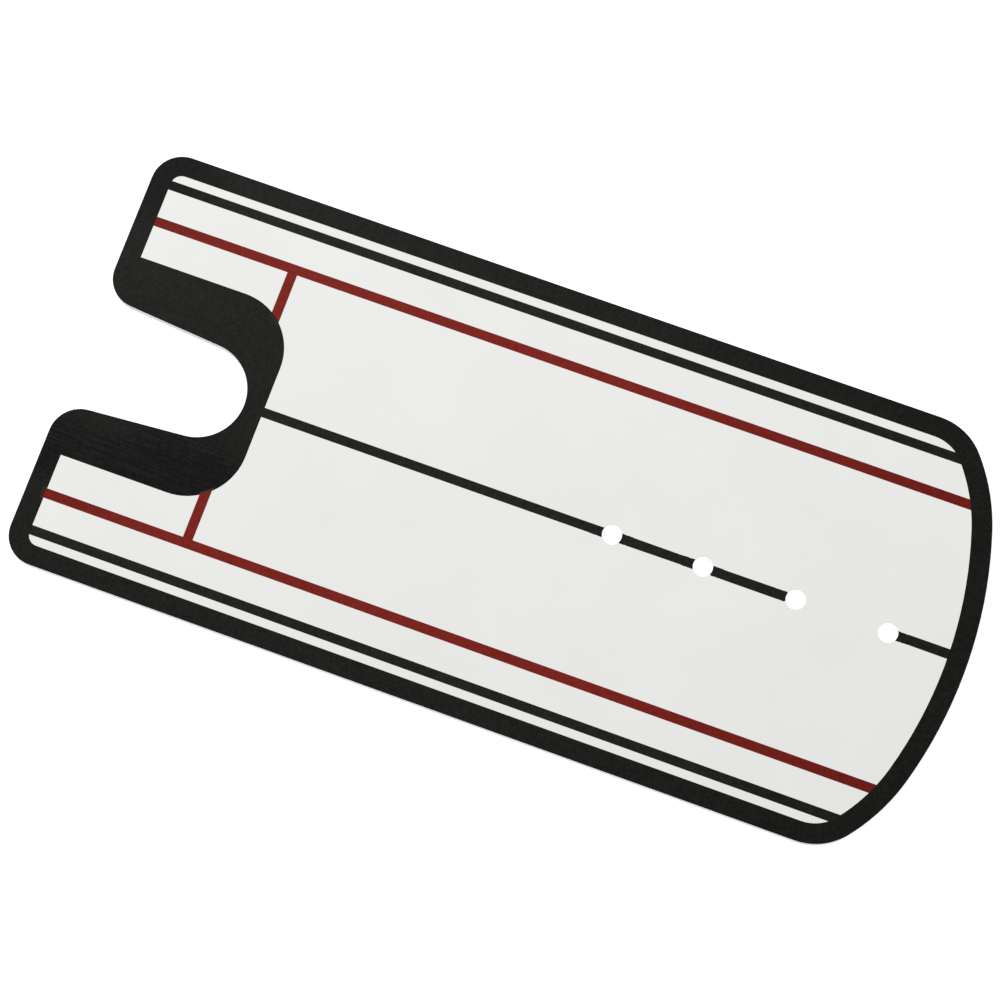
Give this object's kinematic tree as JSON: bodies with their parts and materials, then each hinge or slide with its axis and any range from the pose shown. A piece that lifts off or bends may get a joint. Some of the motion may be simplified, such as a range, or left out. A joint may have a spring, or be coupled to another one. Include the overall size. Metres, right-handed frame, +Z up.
{
  "type": "putting alignment mirror",
  "caption": "Flat putting alignment mirror with a bowed end, a ball notch, tee holes on its centre line and printed black and red alignment lines.",
  "frame": {"origin": "middle of the plate's box, on the surface that the plate lies on", "axes": "+X along the plate from the notched prong end to the bowed end, +Y across it to the left, +Z up out of the printed face"},
  "size_m": [0.3048, 0.146, 0.0034],
  "materials": {
    "acrylic": "rigid acrylic sheet with polished cut edges",
    "backing": "satin grey protective coat",
    "mirror": "clear silver reflecting film",
    "ink_black": "satin screen-printed black ink",
    "ink_red": "satin screen-printed dark red ink"
  },
  "bodies": {
    "root": {"acrylic_sheet": "acrylic", "backing_coat": "backing", "mirror_film": "mirror", "border_print": "ink_black", "notch_pad": "ink_black", "sight_line_left": "ink_black", "sight_line_right": "ink_black", "centre_line_front": "ink_black", "centre_line_gate_1": "ink_black", "centre_line_gate_2": "ink_black", "centre_line_end": "ink_black", "red_line_left": "ink_red", "red_line_right": "ink_red", "red_crossbar_left": "ink_red", "red_crossbar_right": "ink_red"}
  },
  "joints": []
}
